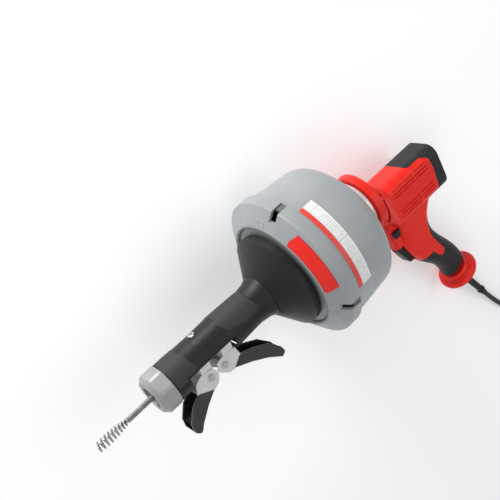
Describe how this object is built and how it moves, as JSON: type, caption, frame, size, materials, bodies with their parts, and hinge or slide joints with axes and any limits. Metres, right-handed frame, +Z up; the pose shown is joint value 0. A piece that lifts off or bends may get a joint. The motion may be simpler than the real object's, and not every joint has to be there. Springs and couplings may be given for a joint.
{
  "type": "drain snake machine",
  "caption": "Hand-held power drain cleaner: an electric drill drives a cable drum; a swivelling front handle has advance and retrieve levers that feed the cable.",
  "frame": {"origin": "on the floor, under the middle of the machine's box without its cord, as the machine lies on its right side on the drum's rim, the drum's rear edge and the grip's guard flange", "axes": "+X along the machine towards the nose, seen from above; +Y towards the foot of the pistol grip; +Z up from the floor"},
  "size_m": [0.7835, 0.5335, 0.2248],
  "materials": {
    "red_nylon": "moulded satin gloss",
    "black_rubber": "fine-grained soft overmould",
    "black_nylon": "moulded satin",
    "grey_nylon": "stippled",
    "drum_grey": "moulded satin",
    "inner_black": "moulded",
    "collar_grey": "cast, satin",
    "latch_rubber": "satin",
    "badge_red": "gloss",
    "label_white": "printed film",
    "hub_silver": "turned",
    "lever_zinc": "cast, bright",
    "dipped_vinyl": "glossy dip",
    "cable_steel": "wound wire",
    "bright_steel": "turned",
    "motor_iron": "laminated",
    "fan_nylon": "moulded",
    "carbon": "sintered",
    "cord_jacket": "satin jacket",
    "brass": "stamped"
  },
  "bodies": {
    "drill": {"housing_left": "red_nylon", "housing_right": "red_nylon", "gear_housing": "red_nylon", "rear_cap": "black_rubber", "grip_overmould": "black_rubber", "guard_flange": "red_nylon", "strain_relief": "black_rubber", "switch_body": "black_nylon", "stator": "motor_iron", "carbon_brushes": "carbon", "bearing_plate": "lever_zinc", "ball_bearings": "bright_steel", "housing_screws": "bright_steel", "power_cord": "cord_jacket", "cord_coil": "cord_jacket", "cord_tail": "cord_jacket", "plug_body": "cord_jacket", "plug_blades": "brass"},
    "drum": {"drum_front_shell": "drum_grey", "drum_rear_shell": "drum_grey", "latch_tabs": "latch_rubber", "model_badge": "badge_red", "side_label": "label_white", "inner_drum": "inner_black", "cable_coil": "cable_steel", "drum_bolts": "bright_steel", "front_bearing": "bright_steel", "hub_collar": "hub_silver", "drum_spindle": "bright_steel", "spindle_gear": "bright_steel"},
    "armature": {"armature_shaft": "bright_steel", "armature_core": "motor_iron", "cooling_fan": "fan_nylon"},
    "trigger": {"trigger": "black_nylon"},
    "selector": {"direction_selector": "black_nylon"},
    "cable": {"drain_cable": "cable_steel", "bulb_auger": "cable_steel"},
    "handle": {"handle_shell_left": "black_nylon", "handle_shell_right": "black_nylon", "guard_cone": "black_nylon", "guide_tube": "bright_steel", "nose_bush": "bright_steel", "nose_collar": "collar_grey", "handle_bolt": "bright_steel", "thumb_panels": "grey_nylon", "roller_blocks": "lever_zinc", "handle_pins": "bright_steel", "lever_springs": "bright_steel"},
    "advance_lever": {"advance_lever_yoke": "lever_zinc", "advance_lever_grip": "dipped_vinyl"},
    "retrieve_lever": {"retrieve_lever_yoke": "lever_zinc", "retrieve_lever_grip": "dipped_vinyl"},
    "advance_carriage": {"advance_carriage": "lever_zinc"},
    "retrieve_carriage": {"retrieve_carriage": "lever_zinc"},
    "advance_roller_1": {"advance_roller_1": "bright_steel"},
    "advance_roller_2": {"advance_roller_2": "bright_steel"},
    "advance_roller_3": {"advance_roller_3": "bright_steel"},
    "retrieve_roller_1": {"retrieve_roller_1": "bright_steel"},
    "retrieve_roller_2": {"retrieve_roller_2": "bright_steel"},
    "retrieve_roller_3": {"retrieve_roller_3": "bright_steel"}
  },
  "joints": [
    {"name": "drum_spin", "type": "hinge", "parent": "drill", "child": "drum", "pos_m": [-0.0004, -0.09095, 0.11779], "axis": [0.989, 0, 0.148], "continuous": true},
    {"name": "armature_spin", "type": "hinge", "parent": "drill", "child": "armature", "pos_m": [0.00046, -0.06152, 0.11202], "axis": [0.989, 0, 0.148], "continuous": true},
    {"name": "trigger_pull", "type": "slide", "parent": "drill", "child": "trigger", "axis": [-0.989, 0, -0.148], "range_m": [0, 0.006], "stiffness_N_per_m": 600, "springref_m": -0.004},
    {"name": "selector_tilt", "type": "hinge", "parent": "drill", "child": "selector", "pos_m": [-0.19127, -0.02327, 0.07566], "axis": [-0.0288, -0.9809, 0.1925], "range_deg": [-5, 5]},
    {"name": "handle_swivel", "type": "hinge", "parent": "drum", "child": "handle", "pos_m": [-0.0004, -0.09095, 0.11779], "axis": [0.989, 0, 0.148], "continuous": true},
    {"name": "cable_feed", "type": "slide", "parent": "drum", "child": "cable", "axis": [0.989, 0, 0.148], "range_m": [-0.03, 0.06]},
    {"name": "advance_lever_squeeze", "type": "hinge", "parent": "handle", "child": "advance_lever", "pos_m": [0.15378, -0.06054, 0.13477], "axis": [0.1452, -0.1946, -0.9701], "range_deg": [0, 12], "stiffness_Nm_per_rad": 0.6, "springref_deg": -14.32},
    {"name": "advance_carriage_slide", "type": "slide", "parent": "handle", "child": "advance_carriage", "axis": [-0.0288, -0.9809, 0.1925], "range_m": [0, 0.002]},
    {"name": "advance_roller_1_spin", "type": "hinge", "parent": "handle", "child": "advance_roller_1", "pos_m": [0.15341, -0.0943, 0.15077], "axis": [0.9553, -0.2926, 0.0424], "continuous": true},
    {"name": "advance_roller_2_spin", "type": "hinge", "parent": "handle", "child": "advance_roller_2", "pos_m": [0.15603, -0.0978, 0.13329], "axis": [0.9707, 0.2324, -0.0606], "continuous": true},
    {"name": "advance_roller_3_spin", "type": "hinge", "parent": "advance_carriage", "child": "advance_roller_3", "pos_m": [0.15523, -0.07878, 0.13864], "axis": [0.8957, 0.0601, 0.4405], "continuous": true},
    {"name": "retrieve_lever_squeeze", "type": "hinge", "parent": "handle", "child": "retrieve_lever", "pos_m": [0.12906, -0.06054, 0.13107], "axis": [-0.1452, 0.1946, 0.9701], "range_deg": [0, 12], "stiffness_Nm_per_rad": 0.6, "springref_deg": -14.32},
    {"name": "retrieve_carriage_slide", "type": "slide", "parent": "handle", "child": "retrieve_carriage", "axis": [-0.0288, -0.9809, 0.1925], "range_m": [0, 0.002]},
    {"name": "retrieve_roller_1_spin", "type": "hinge", "parent": "handle", "child": "retrieve_roller_1", "pos_m": [0.11583, -0.0943, 0.14514], "axis": [0.9259, 0.2926, 0.2391], "continuous": true},
    {"name": "retrieve_roller_2_spin", "type": "hinge", "parent": "handle", "child": "retrieve_roller_2", "pos_m": [0.11844, -0.0978, 0.12767], "axis": [0.9105, -0.2324, 0.3421], "continuous": true},
    {"name": "retrieve_roller_3_spin", "type": "hinge", "parent": "retrieve_carriage", "child": "retrieve_roller_3", "pos_m": [0.11764, -0.07878, 0.13302], "axis": [0.9854, -0.0601, -0.159], "continuous": true}
  ],
  "couplings": [
    {"joint": "armature_spin", "follows": "drum_spin", "ratio": -5.8182},
    {"joint": "advance_carriage_slide", "follows": "advance_lever_squeeze", "m_per_rad": 0.0095},
    {"joint": "retrieve_carriage_slide", "follows": "retrieve_lever_squeeze", "m_per_rad": 0.0095}
  ]
}
